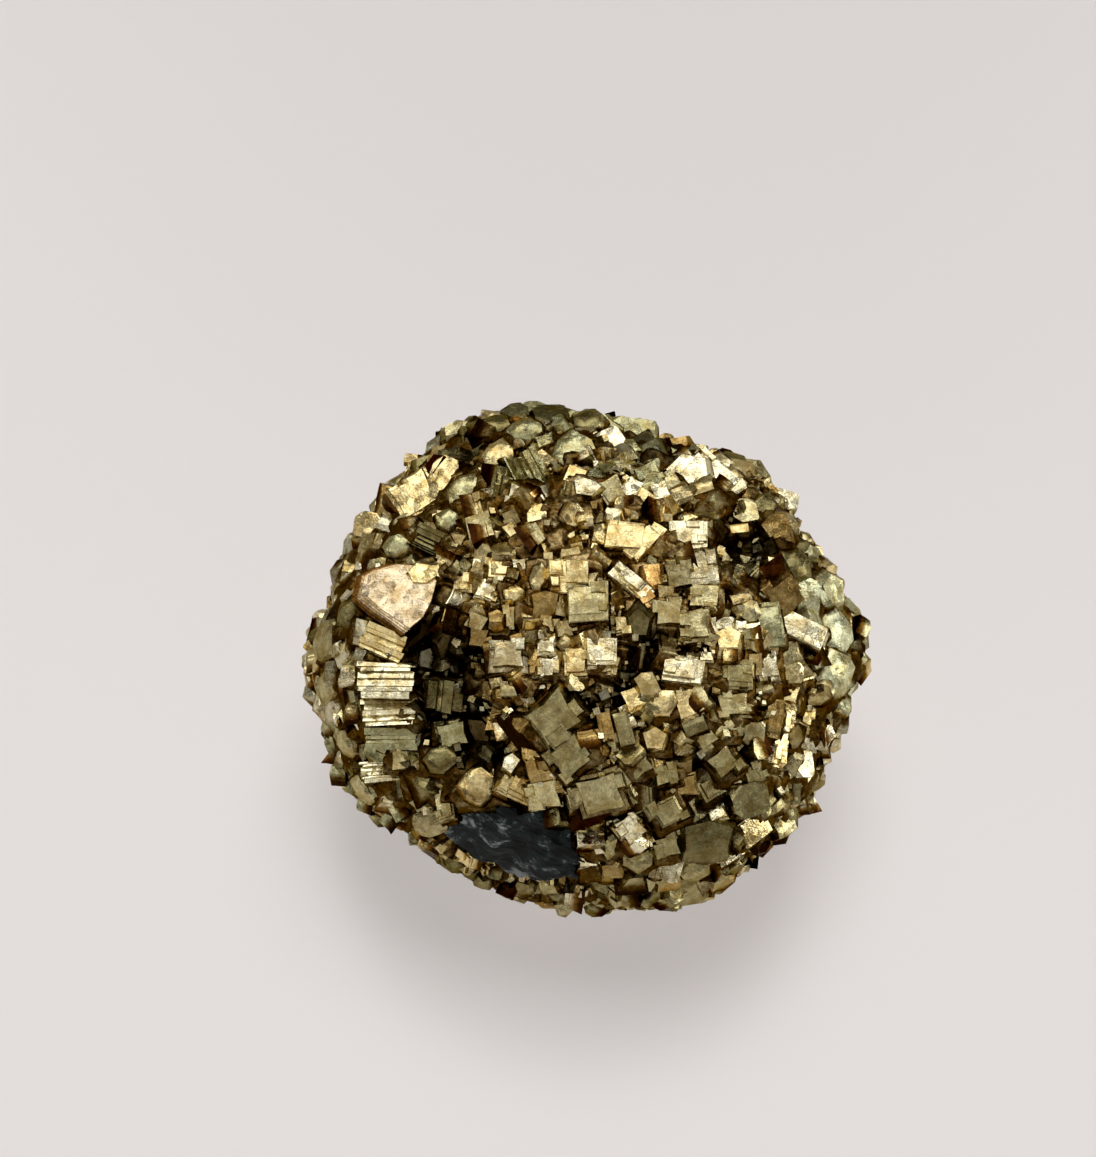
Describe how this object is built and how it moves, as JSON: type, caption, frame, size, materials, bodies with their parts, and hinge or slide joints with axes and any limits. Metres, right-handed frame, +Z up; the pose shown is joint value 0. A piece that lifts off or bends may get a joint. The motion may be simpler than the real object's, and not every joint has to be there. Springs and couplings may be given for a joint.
{
  "type": "marcasite cluster",
  "caption": "Rounded dome of brassy, interlocked cube and octahedron crystals grown round a chunk of dark slate, cut flat underneath to stand on a surface for display.",
  "frame": {"origin": "middle of the specimen's bounding box, on the flat face it stands on", "axes": "+Z up, +X across the wide way, -Y towards the showy side, whose bare slate patch is at the lower left of it"},
  "size_m": [0.0561, 0.0529, 0.0404],
  "materials": {
    "brassy_marcasite": "bright flat crystal faces, pale brassy with olive-brown tarnish in the gaps",
    "dark_slate": "dull blue-black rock, split in thin layers"
  },
  "bodies": {
    "root": {"crystal_cluster": "brassy_marcasite", "host_rock": "dark_slate"}
  },
  "joints": []
}
